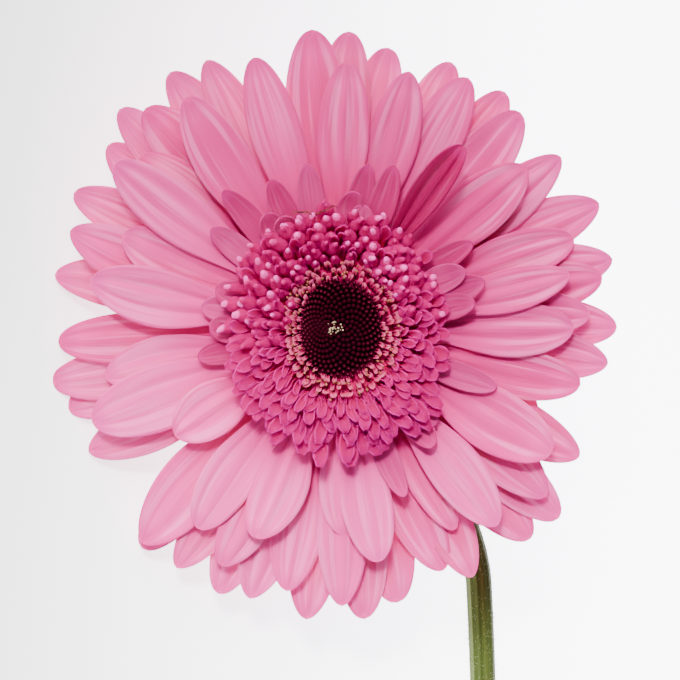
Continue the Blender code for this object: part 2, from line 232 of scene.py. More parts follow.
def up_map(tree):
    """How far a place is from the base of its piece, 0, to the tip, 1."""
    return split(tree, own_uv(tree))[1]


def speckle(tree, scale, detail=2.0):
    """Noise that is even in every direction."""
    return noise(tree, stretched(tree, in_object(tree), (scale, scale, scale)), 1.0, detail)


def bump(tree, height, strength, distance):
    made = tree.nodes.new("ShaderNodeBump")
    feed(tree, made.inputs["Height"], height)
    made.inputs["Strength"].default_value = strength
    made.inputs["Distance"].default_value = distance
    return made.outputs["Normal"]


# How far red, green and blue light spread inside a petal, in metres.
SCATTER = (0.0016, 0.0005, 0.0013)


def new_finish(name, roughness=0.55, subsurface=0.0, sheen=0.0, specular=0.35, shine=(1.0, 1.0, 1.0, 1.0)):
    """A new material, its node tree and its Principled shader, with the numbers that hold all over.
    Shine is the colour that reflections take."""
    material = bpy.data.materials.new(name)
    material.use_nodes = True
    tree = material.node_tree
    shader = tree.nodes["Principled BSDF"]
    shader.inputs["Roughness"].default_value = roughness
    shader.inputs["Specular IOR Level"].default_value = specular
    shader.inputs["Subsurface Weight"].default_value = subsurface
    shader.inputs["Subsurface Radius"].default_value = SCATTER
    shader.inputs["Subsurface Scale"].default_value = 1.0
    shader.inputs["Specular Tint"].default_value = shine
    shader.inputs["Sheen Weight"].default_value = sheen
    shader.inputs["Sheen Tint"].default_value = shine
    return material, tree, shader


def two_colour(name, pattern, low, high, first, second, **settings):
    """A finish that turns from the first colour to the second as its pattern goes from low to high."""
    material, tree, shader = new_finish(name, **settings)
    colour = mix(tree, rescale(tree, pattern(tree), low, high), first, second)
    tree.links.new(colour, shader.inputs["Base Color"])
    return material


# %% [markdown]
# A petal's surface has three things running along it: hair-fine veins, a few soft grooves, whose shade is
# painted, and broad streaks of deeper colour. They are the same on every petal, so they are one node group,
# which reads the petal's own map: across it in x, and from its base to its tip in y.


# %% The veins of a petal, as a node group
def make_vein_group():
    tree = bpy.data.node_groups.new("petal_veins", "ShaderNodeTree")
    for name, kind in (("Map", "Vector"), ("Shift", "Float")):
        tree.interface.new_socket(name, in_out="INPUT", socket_type="NodeSocket" + kind)
    for name in ("Fine", "Streaks", "Groove Shade"):
        tree.interface.new_socket(name, in_out="OUTPUT", socket_type="NodeSocketFloat")
    entry = tree.nodes.new("NodeGroupInput")
    leave = tree.nodes.new("NodeGroupOutput")
    moved = tree.nodes.new("ShaderNodeVectorMath")
    moved.operation = "ADD"
    tree.links.new(entry.outputs["Map"], moved.inputs[0])
    joined = tree.nodes.new("ShaderNodeCombineXYZ")
    tree.links.new(entry.outputs["Shift"], joined.inputs["Z"])
    tree.links.new(joined.outputs[0], moved.inputs[1])
    fine = noise(tree, stretched(tree, moved.outputs[0], (46.0, 2.2, 9.0)), 1.0, 2.0, 0.6)
    tree.links.new(rescale(tree, fine, 0.32, 0.68), leave.inputs["Fine"])
    broad = noise(tree, stretched(tree, moved.outputs[0], (7.0, 1.0, 7.0)), 1.0, 2.0, 0.5)
    tree.links.new(rescale(tree, broad, 0.32, 0.7), leave.inputs["Streaks"])
    # Groove Shade is painted shade in the two grooves and, fainter, down the middle of the petal.
    across = split(tree, entry.outputs["Map"])[0]
    from_middle = off_centre(tree, across)
    off_groove = calc(tree, "ABSOLUTE", calc(tree, "SUBTRACT", from_middle, 0.18))
    groove = rescale(tree, off_groove, 0.0, 0.055, 1.0, 0.0)
    keel = rescale(tree, from_middle, 0.0, 0.03, 0.5, 0.0)
    tree.links.new(calc(tree, "MAXIMUM", groove, keel), leave.inputs["Groove Shade"])
    return tree


vein_group = make_vein_group()
outputs = [item.name for item in vein_group.interface.items_tree if item.in_out == "OUTPUT"]
print("group", vein_group.name, "puts out", outputs)

# %% [markdown]
# The colour of a petal runs from crimson at the base, through rose, to a pale pink blade with a rose rim.
# Rows nearer the back are a little deeper towards the base, painted shade where the rows in front cover them.
# Painted shade also falls on the petals at the top and right of the face, in the grooves and just short of
# the tip, and a painted highlight lies on the blade. Each petal also carries one number of its own, its tone,
# so that no two neighbours are quite the same pink.


# %% Petal finishes
PINK_SHINE = (1.0, 0.22, 0.5, 1.0)
# Pink of the painted highlight on the petals' blades.
PAINTED_HIGHLIGHT_PINK = srgb(255, 132, 190)
# Colour of the painted shade just short of a petal's tip.
TIP_SHADE_PINK = srgb(190, 30, 120)
LILAC = srgb(236, 84, 172)


def make_petal_finish(name, base, rose, pale, rim, rose_until, pale_from, highlight_share=0.45):
    material, tree, shader = new_finish(name, 0.5, 0.12, 0.1, 0.1, PINK_SHINE)
    along = own_uv(tree)
    across, up = split(tree, along)[:2]
    veins = tree.nodes.new("ShaderNodeGroup")
    veins.node_tree = vein_group
    tone = own_value(tree, "tone")
    tree.links.new(along, veins.inputs["Map"])
    feed(tree, veins.inputs["Shift"], tone)
    colour = mix(tree, rescale(tree, up, 0.04, rose_until), base, rose)
    colour = mix(tree, rescale(tree, up, rose_until, pale_from), colour, pale)
    streak = times(tree, veins.outputs["Streaks"], rescale(tree, up, 0.1, 1.0, 0.42, 0.15))
    colour = mix(tree, streak, colour, rose)
    colour = mix(tree, times(tree, veins.outputs["Fine"], 0.16), colour, rose)
    # Painted shade in the grooves, fading towards the tip.
    fade = rescale(tree, up, 0.35, 0.95, 0.42, 0.12)
    colour = mix(tree, times(tree, veins.outputs["Groove Shade"], fade), colour, rim)
    from_middle = off_centre(tree, across)
    edge = rescale(tree, from_middle, 0.40, 0.5, 0.0, 0.55)
    tip = rescale(tree, up, 0.90, 1.0, 0.0, 0.6)
    colour = mix(tree, calc(tree, "MAXIMUM", edge, tip), colour, rim)
    # Painted shade: the depth value, set by the petal's place on the face, turns the petal towards rose and
    # then towards its dark base, less so near the tip.
    shade = times(tree, own_value(tree, "depth"), rescale(tree, up, 0.6, 0.94, 0.78, 0.25))
    colour = mix(tree, times(tree, shade, 0.5), mix(tree, shade, colour, rose), base)
    # Painted highlight: pale pink where the streaks are faint, across the middle of the blade.
    blade = times(tree, rescale(tree, up, 0.3, 0.6), rescale(tree, up, 0.78, 1.0, 1.0, 0.0))
    painted_highlight = times(tree, rescale(tree, veins.outputs["Streaks"], 0.0, 0.6, highlight_share, 0.0), blade)
    colour = mix(tree, painted_highlight, colour, PAINTED_HIGHLIGHT_PINK)
    # Painted shade: a darker band just short of the tip.
    tip_shade = times(tree, rescale(tree, up, 0.78, 0.92), rescale(tree, up, 0.94, 0.99, 0.42, 0.0))
    colour = mix(tree, tip_shade, colour, TIP_SHADE_PINK)
    lilac = mix(tree, times(tree, tone, 0.3), colour, LILAC)
    tree.links.new(lilac, shader.inputs["Base Color"])
    height = calc(tree, "ADD", times(tree, veins.outputs["Fine"], 0.6), veins.outputs["Streaks"])
    tree.links.new(bump(tree, height, 0.35, 0.00025), shader.inputs["Normal"])
    tree.links.new(rescale(tree, veins.outputs["Fine"], 0.0, 1.0, 0.42, 0.58), shader.inputs["Roughness"])
    return material


# The middle and back rows are deeper towards the base: painted shade where the rows in front cover them.
petal_front = make_petal_finish(
    "petal_front", srgb(172, 0, 90), srgb(216, 28, 120), srgb(250, 82, 163), srgb(226, 52, 134), 0.2, 0.46
)
petal_middle = make_petal_finish(
    "petal_middle", srgb(168, 0, 86), srgb(210, 26, 116), srgb(246, 76, 157), srgb(220, 48, 128), 0.24, 0.52
)
petal_back = make_petal_finish(
    "petal_back", srgb(160, 0, 78), srgb(202, 22, 108), srgb(246, 90, 160), srgb(236, 84, 152), 0.3, 0.6
)
ligule_rose = make_petal_finish(
    "ligule_rose", srgb(136, 0, 66), srgb(162, 0, 80), srgb(164, 0, 86), srgb(158, 0, 80), 0.3, 0.9, 0.1
)
print("petal finishes:", petal_front.name, petal_middle.name, petal_back.name, ligule_rose.name)

# %% [markdown]
# ## Reading the solid petals
# Every solid petal is a plain thick tongue that says where one petal goes. A ray dropped on to it along the
# face's axis, and one sent up from below, give the middle height of the tongue at any place. So a finished
# petal can follow the solid one closely without sharing a single corner with it.


# %% Read places from a solid petal
def tree_of(name):
    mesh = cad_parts[name].data
    corners = [vertex.co.copy() for vertex in mesh.vertices]
    return BVHTree.FromPolygons(corners, [tuple(face.vertices) for face in mesh.polygons])


def middle_height(tree, u, v):
    """The w of the middle of a solid sheet above a place on the face, or None beside it."""
    above = tree.ray_cast(Vector(to_world((u, v, 80.0))), Vector(-FACE))[0]
    below = tree.ray_cast(Vector(to_world((u, v, -80.0))), Vector(FACE))[0]
    if above is None or below is None:
        return None
    return 0.5 * (to_head(above)[2] + to_head(below)[2])


def angle_of(u, v):
    return math.degrees(math.atan2(u, v)) % 360.0


def signed_turn(angle):
    """The same turn, from -180 to 180 degrees."""
    return (angle + 180.0) % 360.0 - 180.0


def place_of(node, base, tip, base_r, width):
    """Where one petal goes: its angle and radius at the base and at the tip, and its width."""
    return {
        "node": node, "base_angle": angle_of(base[0], base[1]), "angle": angle_of(tip[0], tip[1]),
        "base_r": base_r, "tip_r": math.hypot(tip[0], tip[1]), "width": width,
    }


SECTION_CORNERS = 6
RING_BASE_R = 15.6
# The least radius of a tip, the clear angle round each one, and the petals' width.
BACK_RING = (40.0, 8.0, 9.6)


def read_single(name):
    """The place of a petal that is a solid of its own."""
    points = to_head(node_points(name))
    radius = np.hypot(points[:, 0], points[:, 1])
    order = np.argsort(radius)
    base = points[order[:SECTION_CORNERS]].mean(axis=0)
    tip = points[order[-SECTION_CORNERS:]].mean(axis=0)
    outward = (tip - base)[:2] / np.linalg.norm((tip - base)[:2])
    sideways = (points[:, 0] - base[0]) * outward[1] - (points[:, 1] - base[1]) * outward[0]
    return place_of(name, base, tip, math.hypot(base[0], base[1]), float(sideways.max() - sideways.min()))


def read_ring(name, shortest, clear_deg, width):
    """The same for every petal on a ring, found from its tips."""
    points = to_head(node_points(name))
    radius = np.hypot(points[:, 0], points[:, 1])
    angles = np.degrees(np.arctan2(points[:, 0], points[:, 1])) % 360.0
    free = radius > shortest
    found = []
    while free.any():
        far = np.argmax(np.where(free, radius, 0.0))
        turn = np.abs(signed_turn(angles - angles[far]))
        at_tip = free & (turn < clear_deg) & (radius > radius[far] - 0.2)
        middle = points[at_tip].mean(axis=0)
        found.append(place_of(name, middle, middle, RING_BASE_R, width))
        free &= turn >= clear_deg
    return found


fronts = [read_single(f"petal_front_{number:02d}") for number in range(1, 19)]
middles = [read_single(f"petal_middle_{number:02d}") for number in range(1, 22)]
backs = read_ring("petals_back_a", *BACK_RING) + read_ring("petals_back_b", *BACK_RING)
ligules = read_ring("ligules_lower", 22.0, 6.0, 4.8) + read_ring("ligules_upper", 22.0, 5.5, 5.2)
print("front, middle, back and short petals:", *map(len, (fronts, middles, backs, ligules)))

# %% [markdown]
# ## The petals
# A petal starts as a flat grid, with more rows towards the tip, where the outline turns fastest. Its map
# comes with the grid. The same grid is then bent into each place: the outline narrows it, the solid petal
# gives its height, and shallow grooves and a rolled edge make it a petal and not a strap. Solidify gives
# it the thickness of a real one, a third of a millimetre.

# %% One flat petal to copy
PETAL_COLUMNS = 18
PETAL_ROWS = 36


def make_blank(name, columns, rows):
    """A grid from -1 to 1 across and 0 to 1 along, with its map, and nothing else selected."""
    bpy.ops.object.select_all(action="DESELECT")
    bpy.ops.mesh.primitive_grid_add(x_subdivisions=columns, y_subdivisions=rows, size=2.0, calc_uvs=True)
    blank = bpy.context.object
    blank.name = name
    blank.data.uv_layers[0].name = "along"
    bpy.ops.object.mode_set(mode="EDIT")
    bpy.ops.transform.resize(value=(1.0, 0.5, 1.0), center_override=(0.0, 0.0, 0.0))
    bpy.ops.transform.translate(value=(0.0, 0.5, 0.0))
    bpy.ops.object.mode_set(mode="OBJECT")
    return blank


def grid_of(blank):
    """The columns q, from -1 to 1, and the rows t, from 0 to 1, of a blank's vertices."""
    points = np.empty(len(blank.data.vertices) * 3)
    blank.data.vertices.foreach_get("co", points)
    points = points.reshape(-1, 3)
    return points[:, 0], points[:, 1]


petal_blank = make_blank("petal_blank", PETAL_COLUMNS, PETAL_ROWS)
petal_q, petal_t = grid_of(petal_blank)
print("blank petal:", len(petal_blank.data.polygons), "faces")

# %% [markdown]
# Every petal is a copy of the blank, moved corner by corner. Sculpting each one by hand would take days,
# and a bend modifier knows nothing of the solid petal, so the shape is worked out in the head's frame: where
# each row lies, how wide it is there, and how its section is cupped, grooved and twisted.


# %% Bend a copy into place
def smooth_step(x):
    x = np.clip(x, 0.0, 1.0)
    return x * x * (3.0 - 2.0 * x)


def blade_share(s, claw, widest, shoulder, sharp):
    """Half-width along a petal, as a share of its widest."""
    rise = claw + (1.0 - claw) * smooth_step(s / widest)
    fall = np.clip((s - shoulder) / (1.0 - shoulder), 0.0, 1.0)
    return rise * np.power(np.clip(1.0 - fall ** 2.0, 0.0, 1.0), sharp)


def select_only(piece):
    bpy.ops.object.select_all(action="DESELECT")
    piece.select_set(True)
    bpy.context.view_layer.objects.active = piece


def new_piece(name, mesh):
    """A mesh as an object of the scene, with all of it selected in edit mode."""
    piece = bpy.data.objects.new(name, mesh)
    bpy.context.scene.collection.objects.link(piece)
    select_only(piece)
    bpy.ops.object.mode_set(mode="EDIT")
    bpy.ops.mesh.select_all(action="SELECT")
    return piece


def finish_mesh(piece, material, thickness=0.0):
    """One finish, smooth shading and, on a sheet, its thickness."""
    select_only(piece)
    piece.data.materials.clear()
    piece.data.materials.append(material)
    if thickness > 0.0:
        wall = piece.modifiers.new("wall", "SOLIDIFY")
        wall.thickness = thickness
        wall.offset = 0.0
        bpy.ops.object.modifier_apply(modifier="wall")
    bpy.ops.object.shade_smooth()
    piece.select_set(False)


def set_value(piece, name, value):
    """One number for the whole piece, which its finish reads."""
    layer = piece.data.attributes.new(name, "FLOAT", "POINT")
    layer.data.foreach_set("value", [value] * len(piece.data.vertices))


EIGHTHS_DEG = (0, 45, 90, 135, 180, 225, 270, 315, 360)
# Painted shade for petals at each eighth of the face, deepest at the top and right.
PAINTED_SHADE_BY_EIGHTH = (0.74, 0.88, 0.9, 0.38, 0.0, 0.0, 0.38, 0.62, 0.74)


def painted_shade_of(angle_deg, deeper):
    """How far a petal is painted towards rose: painted shade, most at the top and right of the face."""
    return min(1.0, float(np.interp(angle_deg % 360.0, EIGHTHS_DEG, PAINTED_SHADE_BY_EIGHTH)) + deeper)


PETAL_WALL = 0.32 * MM
SIDE_SHARE = 0.32
FLOOR_CLEAR = 0.22 * MM
HEIGHT_STATIONS = np.linspace(0.01, 0.985, 12)


def bend_petal(name, leaf, material, look):
    """A copy of the blank petal, bent along one solid petal."""
    q, s = petal_q, 1.0 - np.power(1.0 - petal_t, 1.35)
    tree = tree_of(leaf["node"])
    turn = signed_turn(leaf["angle"] - leaf["base_angle"])
    reach = leaf["tip_r"] - leaf["base_r"]
    known, heights, tilts = [], [], []
    for station in HEIGHT_STATIONS:
        angle = leaf["base_angle"] + turn * station * station
        u, v = on_face(angle, leaf["base_r"] + station * reach)
        side = SIDE_SHARE * leaf["width"] * (0.35 + 0.65 * smooth_step(station / 0.5))
        side *= 1.0 if station < 0.8 else 0.5
        step_u, step_v = side * math.cos(math.radians(angle)), -side * math.sin(math.radians(angle))
        middle = middle_height(tree, u, v)
        left = middle_height(tree, u - step_u, v - step_v)
        right = middle_height(tree, u + step_u, v + step_v)
        if middle is None:
            continue
        known.append(station)
        heights.append(middle)
        tilts.append((right - left) / (2.0 * side) if left is not None and right is not None else 0.0)
    height = np.interp(s, known, heights)
    tilt = np.interp(s, known, np.convolve(np.pad(tilts, 1, mode="edge"), np.ones(3) / 3.0, mode="valid"))
    share = blade_share(s, look["claw"], look["widest"], look["shoulder"], look["sharp"])
    half = 0.5 * leaf["width"] * look["broad"] * share
    angle = np.radians(leaf["base_angle"] + turn * s * s + look["sway"] * np.sin(math.pi * s))
    notch = look["notch"] * np.exp(-((q / 0.22) ** 2)) * smooth_step((s - 0.9) / 0.1)
    radius = leaf["base_r"] + s * reach * look["length"] - notch
    u = radius * np.sin(angle) + q * half * np.cos(angle)
    v = radius * np.cos(angle) - q * half * np.sin(angle)
    fold = smooth_step(s / 0.2) * smooth_step((1.0 - s) / 0.16)
    off_middle = q - look["offset"]
    groove = np.exp(-(((np.abs(off_middle) - 0.36) / 0.14) ** 2)) * fold
    ridge = np.exp(-((off_middle / 0.16) ** 2)) * fold
    profile = look["cup"] * share * q * q - look["groove"] * groove + look["ridge"] * ridge
    profile = profile + look["twist"] * q * half * s * s
    along = look["curl"] * smooth_step((s - 0.6) / 0.4) * (s - 0.6)
    along = along + look["wave"] * np.sin(5.0 * s + look["phase"])
    w = height + tilt * q * half + profile + along
    piece = petal_blank.copy()
    piece.data = petal_blank.data.copy()
    piece.name = name
    bpy.context.scene.collection.objects.link(piece)
    world = to_world(np.stack([u, v, w], axis=1))
    world[:, 2] = np.maximum(world[:, 2], FLOOR_CLEAR)
    piece.data.vertices.foreach_set("co", world.ravel())
    piece.data.update()
    finish_mesh(piece, material, PETAL_WALL)
    set_value(piece, "tone", look["tone"])
    # The depth value is painted shade, set by the petal's place on the face.
    set_value(piece, "depth", painted_shade_of(leaf["angle"], look["deeper"]))
    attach(piece, "root")
    return piece


# %% [markdown]
# The numbers that differ from petal to petal are drawn here: how far the edges cup, how deep the grooves
# are, a little twist and sway, how the tip curls, and on some of them a small notch in the tip.


# %% How one petal differs from the next
def petal_look(row):
    look = {
        "claw": 0.3, "widest": 0.62, "shoulder": 0.62, "sharp": random.uniform(0.47, 0.6),
        "broad": random.uniform(1.04, 1.16),
        "sway": random.uniform(-1.2, 1.2),
        "notch": random.choice((0.0, 0.0, 0.0, 0.5, 0.9)),
        "length": 1.012,
        "cup": random.uniform(-0.3, 0.9),
        "groove": random.uniform(0.25, 0.55),
        "ridge": random.uniform(0.0, 0.35),
        "offset": random.uniform(-0.12, 0.12),
        "twist": random.uniform(-0.07, 0.07),
        "curl": random.uniform(-5.0, -0.5),
        "wave": random.uniform(0.0, 0.3),
        "phase": random.uniform(0.0, 6.0),
        "tone": random.random(),
        # A random shift of the painted shade, so that neighbours differ.
        "deeper": random.uniform(-0.12, 0.12),
    }
    if row == "back":
        look["curl"] = random.uniform(-3.5, 0.0)
    if row == "ligule":
        look.update(claw=0.5, widest=0.5, shoulder=0.55, sharp=0.5, cup=random.uniform(0.3, 0.8), notch=0.0)
        look.update(groove=0.1, ridge=0.0, curl=random.uniform(0.0, 5.0), wave=0.0, length=1.0)
        look.update(twist=random.uniform(-0.15, 0.15), broad=random.uniform(0.97, 1.08))
    return look


# One petal of the front row is folded along its middle; its shade is painted, with the ligules' darker rose
# and more painted shade.
FOLDED_FRONT = 3
# Back petals at the top are painted paler and those towards the stem duller: painted light and painted shade.
BACK_PAINTED_LIGHT = 0.35
rows = (
    ("back", backs, petal_back, "petal_shaded"),
    ("middle", middles, petal_middle, "petal"),
    ("front", fronts, petal_front, "petal"),
    ("ligule", ligules, ligule_rose, "ligule"),
)
for row, leaves, material, slot_name in rows:
    for number, leaf in enumerate(leaves, 1):
        look = petal_look(row)
        # Painted light and shade on the back row, by its angle.
        if row == "back":
            look["deeper"] -= BACK_PAINTED_LIGHT * math.cos(math.radians(leaf["angle"]))
        folded = row == "front" and number == FOLDED_FRONT
        if folded:
            # Painted shade for the folded petal.
            look.update(deeper=0.55, cup=2.0, groove=0.9, broad=1.0)
        finish = ligule_rose if folded else material
        piece = bend_petal(f"{row}_petal_{number:02d}", leaf, finish, look)
        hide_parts(leaf["node"])
    print(row, "row:", len(leaves), "petals")
bpy.data.objects.remove(petal_blank)

# %% [markdown]
# ## The middle of the head
# The middle is a few hundred little flowers. Each kind is modelled once as a blank, a small grid whose rows
# run from its base to its tip, and hundreds of copies are swept along short curved paths. A path lies in
# the plane that holds the head's axis, and is given by three points: base, pull and tip. The blank's rows
# follow it, while its columns open from a rolled tube into a spoon.

# %% Sweep many copies of a blank
def at_w(radius, w):
    """(radius, w) pairs. Either may be one number for all of them."""
    return np.stack(np.broadcast_arrays(radius, w), axis=1)


def curve_point(base, pull, tip, t):
    """A point of each quadratic curve. base, pull and tip are (count, 2) as radius and w; t is (corners,)."""
    t = t[None, :, None]
    return (1 - t) ** 2 * base[:, None] + 2 * (1 - t) * t * pull[:, None] + t ** 2 * tip[:, None]


def curve_slope(base, pull, tip, t):
    t = t[None, :, None]
    slope = 2 * (1 - t) * (pull - base)[:, None] + 2 * t * (tip - pull)[:, None]
    return slope / np.linalg.norm(slope, axis=2, keepdims=True)


def sweep(angles, base, pull, tip, t, sideways, above, lean=0.0):
    """World places of every corner of every copy. sideways and above are offsets from its path, in mm."""
    along = curve_point(base, pull, tip, t)
    slope = curve_slope(base, pull, tip, t)
    radius = along[..., 0] - above * slope[..., 1]
    height = along[..., 1] + above * slope[..., 0]
    angle = np.radians(angles)[:, None]
    offset = sideways + np.asarray(lean).reshape(-1, 1) * t[None, :] ** 2
    u = radius * np.sin(angle) + offset * np.cos(angle)
    v = radius * np.cos(angle) - offset * np.sin(angle)
    return to_world(np.stack([u, v, height], axis=-1).reshape(-1, 3)).reshape(u.shape + (3,))


def plant(name, blank, placed, tones, material, wall=0.0, weld=False):
    """One piece that holds every placed copy of the blank, with its map and a tone for each copy."""
    count, corners = placed.shape[0], placed.shape[1]
    faces = [tuple(face.vertices) for face in blank.data.polygons]
    flat_map = np.empty(len(blank.data.loops) * 2)
    blank.data.uv_layers["along"].data.foreach_get("uv", flat_map)
    mesh = bpy.data.meshes.new(name)
    every = [tuple(corner + k * corners for corner in face) for k in range(count) for face in faces]
    mesh.from_pydata(placed.reshape(-1, 3).tolist(), [], every)
    mesh.uv_layers.new(name="along")
    mesh.uv_layers["along"].data.foreach_set("uv", np.tile(flat_map, count))
    mesh.attributes.new("tone", "FLOAT", "POINT")
    mesh.attributes["tone"].data.foreach_set("value", np.repeat(tones, corners))
    piece = new_piece(name, mesh)
    if weld:
        bpy.ops.mesh.remove_doubles(threshold=0.000002)
    bpy.ops.mesh.normals_make_consistent(inside=False)
    bpy.ops.object.mode_set(mode="OBJECT")
    finish_mesh(piece, material, wall)
    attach(piece, "root")
    print(name, count, "copies,", len(piece.data.polygons), "faces")
    return piece


# %% [markdown]
# The tongue and the bud are the two blanks of the crown. A tongue is an open gutter that flattens into a
# rounded lip. A bud is still closed: its grid is rolled right round until its two edges meet, and the seam
# and both ends are welded.

# %% Blanks for tongues and buds
tongue_blank = make_blank("tongue_blank", 5, 7)
bud_blank = make_blank("bud_blank", 9, 15)
seed_blank = make_blank("seed_blank", 7, 5)


def tongue_shape(blank, tube_width, lip_width, lip_from, depth):
    """Offsets across and above the path for every corner of every tongue."""
    q, t = grid_of(blank)
    lip = smooth_step((t[None, :] - lip_from) / (1.0 - lip_from) * 1.6)
    end = np.sqrt(np.clip(1.0 - np.clip((t - 0.72) / 0.30, 0.0, 1.0) ** 2.2, 0.0, 1.0))
    width = (tube_width[:, None] + (lip_width - tube_width)[:, None] * lip) * end[None, :]
    roll = np.radians(150.0 - 105.0 * lip)
    bow = 0.5 * width / np.maximum(np.sin(np.minimum(roll, np.pi / 2)), 0.2)
    sideways = bow * np.sin(q[None, :] * roll)
    above = bow * (1.0 - np.cos(q[None, :] * roll)) * depth
    return sideways, above


def bud_shape(blank, radius, neck, belly, bead=1.0):
    """The same for closed buds: a stalk that swells, and then closes in a rounded end or a smaller bead."""
    q, t = grid_of(blank)
    swell = neck + (1.0 - neck) * smooth_step((t - 0.1) / (belly - 0.1))
    swell = swell + (bead - 1.0) * smooth_step((t - belly) / (0.86 - belly))
    cap = np.sqrt(np.clip(1.0 - np.clip((t - 0.88) / 0.12, 0.0, 1.0) ** 2, 0.0, 1.0))
    foot = smooth_step(t / 0.02)
    size = radius[:, None] * (swell * cap * foot)[None, :]
    return size * np.sin(np.pi * q)[None, :], size * np.cos(np.pi * q)[None, :]


def plant_seeds(name, angles, base, tip, size, neck, belly, lean, tones, material):
    """Small closed buds that stand straight from base to tip."""
    sideways, above = bud_shape(seed_blank, size, neck, belly)
    t = grid_of(seed_blank)[1]
    placed = sweep(angles, base, 0.5 * (base + tip), tip, t, sideways, above, lean)
    return plant(name, seed_blank, placed, tones, material, weld=True)


# %% [markdown]
# Crown florets are crimson in their tubes and pale pink at their lips. The same recipe serves buds and
# tongues, with a different place for the change of colour.

# %% Finishes of the crown
FLORET_EDGE = srgb(210, 34, 140)


def make_floret_finish(name, deep, body, lip, lip_from, lip_to, rim_amount, plain=0.0):
    material, tree, shader = new_finish(name, 0.5, 0.55, 0.0, 0.02, PINK_SHINE)
    along = own_uv(tree)
    across, up = split(tree, along)[:2]
    tone = own_value(tree, "tone")
    colour = mix(tree, rescale(tree, up, 0.1, 0.55), deep, body)
    start = calc(tree, "ADD", up, times(tree, calc(tree, "SUBTRACT", tone, 0.5), 0.14))
    lip_amount = rescale(tree, start, lip_from, lip_to)
    if plain:
        opened = rescale(tree, tone, plain - 0.05, plain + 0.1, 0.1, 1.0)
        lip_amount = times(tree, lip_amount, opened)
    colour = mix(tree, lip_amount, colour, lip)
    from_middle = off_centre(tree, across)
    keel = times(tree, rescale(tree, from_middle, 0.0, 0.16, 1.0, 0.0), 0.35 * rim_amount)
    colour = mix(tree, keel, colour, body)
    edge = times(tree, rescale(tree, from_middle, 0.36, 0.5), rim_amount)
    edge = times(tree, edge, rescale(tree, up, 0.35, 0.7))
    colour = mix(tree, edge, colour, FLORET_EDGE)
    grain = speckle(tree, 900.0)
    colour = mix(tree, rescale(tree, grain, 0.3, 0.7, 0.0, 0.14), colour, body)
    tree.links.new(colour, shader.inputs["Base Color"])
    tree.links.new(bump(tree, grain, 0.25, 0.0001), shader.inputs["Normal"])
    return material


tongue_finish = make_floret_finish(
    "floret_tongue", srgb(232, 0, 98), srgb(160, 0, 76), srgb(166, 2, 94), 0.55, 0.95, 0.35
)
bud_finish = make_floret_finish(
    "floret_bud", srgb(238, 0, 116), srgb(166, 0, 90), srgb(244, 80, 172), 0.82, 0.92, 0.0, 0.56
)

# %% [markdown]
# Rings of florets stand behind each other, the inner ones steepest. Towards the top of the face they lean
# forward and are mostly buds, and towards the stem they splay outwards and have opened into tongues. How
# far a place is towards the top decides both.

# %% Place the crown
COLLAR_R = 11.2
CROWN_ROWS = (
    # ring, tip radius, tip w, how many, lip width, bud radius
    ("crown_inner", 12.6, 10.8, 40, 1.4, 0.76),
    ("crown_inner", 14.5, 11.6, 44, 1.7, 0.84),
    ("crown_middle", 16.5, 11.9, 46, 2.0, 0.92),
    ("crown_middle", 18.6, 11.4, 48, 2.4, 0.98),
    ("crown_outer", 20.8, 10.4, 48, 2.8, 1.04),
    ("crown_outer", 22.8, 9.3, 46, 3.0, 1.06),
    ("crown_outer", 24.6, 8.0, 42, 3.2, 1.0),
)
CROWN_ROOT_R = 10.6
CROWN_ROOT_W = 4.9
# How much wider a bud is than its place in the rows, and the share of buds at the very top.
BUD_GIRTH = 1.42
MOST_BUDS = 0.86
chance = np.random.default_rng(21)


def topness(angles):
    """1 at the top of the face, 0 towards the stem."""
    return 0.5 + 0.5 * np.cos(np.radians(angles + 12.0))


CROWN_REACH = (0.84, 0.86, 0.72, 1.02, 1.06, 0.88, 0.72, 0.92, 0.84)
CROWN_R = 24.6


def collar_share(angles):
    """The disc and its collar aren't round either: they're longer along the stem, and nearer on the left."""
    turn = np.radians(angles)
    return 1.05 + 0.13 * np.sin(turn) + 0.10 * np.cos(2.0 * turn)


def crown_reach(radius, angles):
    """The crown isn't round: it's drawn in at both sides and hangs out towards the stem."""
    outer = COLLAR_R + (CROWN_R - COLLAR_R) * np.interp(angles % 360.0, EIGHTHS_DEG, CROWN_REACH)
    inner = COLLAR_R * collar_share(angles)
    return inner + (radius - COLLAR_R) / (CROWN_R - COLLAR_R) * (outer - inner)


def crown_paths(tip_r, tip_w, angles):
    """Base, pull and tip of each floret's path, as (count, 2) arrays of radius and w."""
    count = len(angles)
    top = topness(angles)
    reach = crown_reach(tip_r, angles) + chance.normal(0.0, 0.7, count)
    rise = tip_w + chance.normal(0.0, 0.4, count) + 2.2 * top - 1.2 * (1.0 - top)
    base_r = CROWN_ROOT_R * collar_share(angles) + (tip_r - 12.7) * (0.30 + 0.3 * top)
    pull_r = base_r + (reach - base_r) * (0.42 + 0.38 * top)
    pull_w = CROWN_ROOT_W + (rise - CROWN_ROOT_W) * (0.95 - 0.45 * top)
    return at_w(base_r, CROWN_ROOT_W), at_w(pull_r, pull_w), at_w(reach, rise)


crown_parts = {}
for row_number, (ring, tip_r, tip_w, count, lip, bud_radius) in enumerate(CROWN_ROWS):
    spacing = 360.0 / count
    angles = (np.arange(count) + 0.5 * (row_number % 2)) * spacing
    angles = angles + chance.normal(0.0, 0.2 * spacing, count)
    is_bud = chance.random(count) < smooth_step((topness(angles) - 0.38) / 0.3) * MOST_BUDS
    for kind, chosen in (("bud", angles[is_bud]), ("tongue", angles[~is_bud])):
        crown_parts.setdefault((ring, kind), []).append((chosen, tip_r, tip_w, lip, bud_radius))

